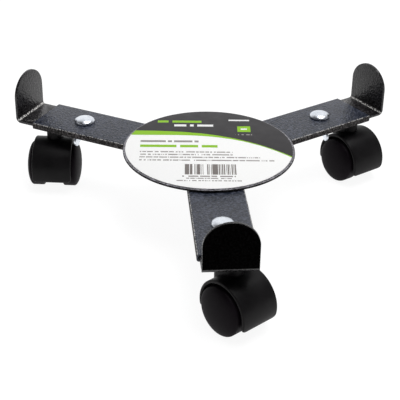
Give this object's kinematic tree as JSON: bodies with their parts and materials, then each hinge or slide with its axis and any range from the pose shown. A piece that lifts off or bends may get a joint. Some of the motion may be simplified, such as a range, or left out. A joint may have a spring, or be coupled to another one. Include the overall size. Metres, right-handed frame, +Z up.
{
  "type": "plant pot caddy",
  "caption": "Rolling plant pot caddy: round plate on a three-armed steel star, clamped sliding legs with upturned lugs, hooded twin-wheel swivel casters.",
  "frame": {"origin": "middle of the plate's top face, where the pot stands", "axes": "+Z up, away from the floor; the front arm points to -Y, the others to 30 and 150 degrees from +X"},
  "size_m": [0.2281, 0.2076, 0.0679],
  "materials": {
    "plate_paint": "hammered grey enamel, satin",
    "label_print": "printed vinyl label in plain colour bands",
    "channel_paint": "dark grey hammered powder coat",
    "leg_paint": "near-black hammered powder coat",
    "bolt_zinc": "bright zinc plating",
    "washer_zinc": "zinc plating",
    "nut_zinc": "zinc plating",
    "stem_steel": "plain steel",
    "ring_steel": "spring steel",
    "axle_steel": "ground steel",
    "hood_plastic": "satin black moulding",
    "wheel_plastic": "satin black moulding"
  },
  "bodies": {
    "frame": {"pot_plate": "plate_paint", "plate_label": "label_print", "arm_channel_front": "channel_paint", "carriage_bolt_front": "bolt_zinc", "clamp_washer_front": "washer_zinc", "wing_nut_front": "nut_zinc", "arm_channel_right": "channel_paint", "carriage_bolt_right": "bolt_zinc", "clamp_washer_right": "washer_zinc", "wing_nut_right": "nut_zinc", "arm_channel_left": "channel_paint", "carriage_bolt_left": "bolt_zinc", "clamp_washer_left": "washer_zinc", "wing_nut_left": "nut_zinc"},
    "leg_front": {"sliding_leg_front": "leg_paint", "caster_stem_front": "stem_steel", "stem_ring_front": "ring_steel"},
    "caster_front": {"caster_hood_front": "hood_plastic", "wheel_axle_front": "axle_steel"},
    "wheel_front_a": {"caster_wheel_front_a": "wheel_plastic"},
    "wheel_front_b": {"caster_wheel_front_b": "wheel_plastic"},
    "leg_right": {"sliding_leg_right": "leg_paint", "caster_stem_right": "stem_steel", "stem_ring_right": "ring_steel"},
    "caster_right": {"caster_hood_right": "hood_plastic", "wheel_axle_right": "axle_steel"},
    "wheel_right_a": {"caster_wheel_right_a": "wheel_plastic"},
    "wheel_right_b": {"caster_wheel_right_b": "wheel_plastic"},
    "leg_left": {"sliding_leg_left": "leg_paint", "caster_stem_left": "stem_steel", "stem_ring_left": "ring_steel"},
    "caster_left": {"caster_hood_left": "hood_plastic", "wheel_axle_left": "axle_steel"},
    "wheel_left_a": {"caster_wheel_left_a": "wheel_plastic"},
    "wheel_left_b": {"caster_wheel_left_b": "wheel_plastic"}
  },
  "joints": [
    {"name": "leg_slide_front", "type": "slide", "parent": "frame", "child": "leg_front", "axis": [0, -1, 0], "range_m": [-0.0015, 0.0485]},
    {"name": "caster_swivel_front", "type": "hinge", "parent": "leg_front", "child": "caster_front", "pos_m": [0, -0.1055, -0.015], "axis": [0, 0, 1], "continuous": true},
    {"name": "wheel_spin_front_a", "type": "hinge", "parent": "caster_front", "child": "wheel_front_a", "pos_m": [0.0056, -0.11293, -0.0303], "axis": [0.7986, 0.6018, 0], "continuous": true},
    {"name": "wheel_spin_front_b", "type": "hinge", "parent": "caster_front", "child": "wheel_front_b", "pos_m": [0.0056, -0.11293, -0.0303], "axis": [0.7986, 0.6018, 0], "continuous": true},
    {"name": "leg_slide_right", "type": "slide", "parent": "frame", "child": "leg_right", "axis": [0.866, 0.5, 0], "range_m": [0, 0.05]},
    {"name": "caster_swivel_right", "type": "hinge", "parent": "leg_right", "child": "caster_right", "pos_m": [0.09007, 0.052, -0.015], "axis": [0, 0, 1], "continuous": true},
    {"name": "wheel_spin_right_a", "type": "hinge", "parent": "caster_right", "child": "wheel_right_a", "pos_m": [0.09486, 0.04403, -0.0303], "axis": [0.8572, 0.515, 0], "continuous": true},
    {"name": "wheel_spin_right_b", "type": "hinge", "parent": "caster_right", "child": "wheel_right_b", "pos_m": [0.09486, 0.04403, -0.0303], "axis": [0.8572, 0.515, 0], "continuous": true},
    {"name": "leg_slide_left", "type": "slide", "parent": "frame", "child": "leg_left", "axis": [-0.866, 0.5, 0], "range_m": [-0.0005, 0.0495]},
    {"name": "caster_swivel_left", "type": "hinge", "parent": "leg_left", "child": "caster_left", "pos_m": [-0.0905, 0.05225, -0.015], "axis": [0, 0, 1], "continuous": true},
    {"name": "wheel_spin_left_a", "type": "hinge", "parent": "caster_left", "child": "wheel_left_a", "pos_m": [-0.09163, 0.04302, -0.0303], "axis": [0.9925, -0.1219, 0], "continuous": true},
    {"name": "wheel_spin_left_b", "type": "hinge", "parent": "caster_left", "child": "wheel_left_b", "pos_m": [-0.09163, 0.04302, -0.0303], "axis": [0.9925, -0.1219, 0], "continuous": true}
  ]
}
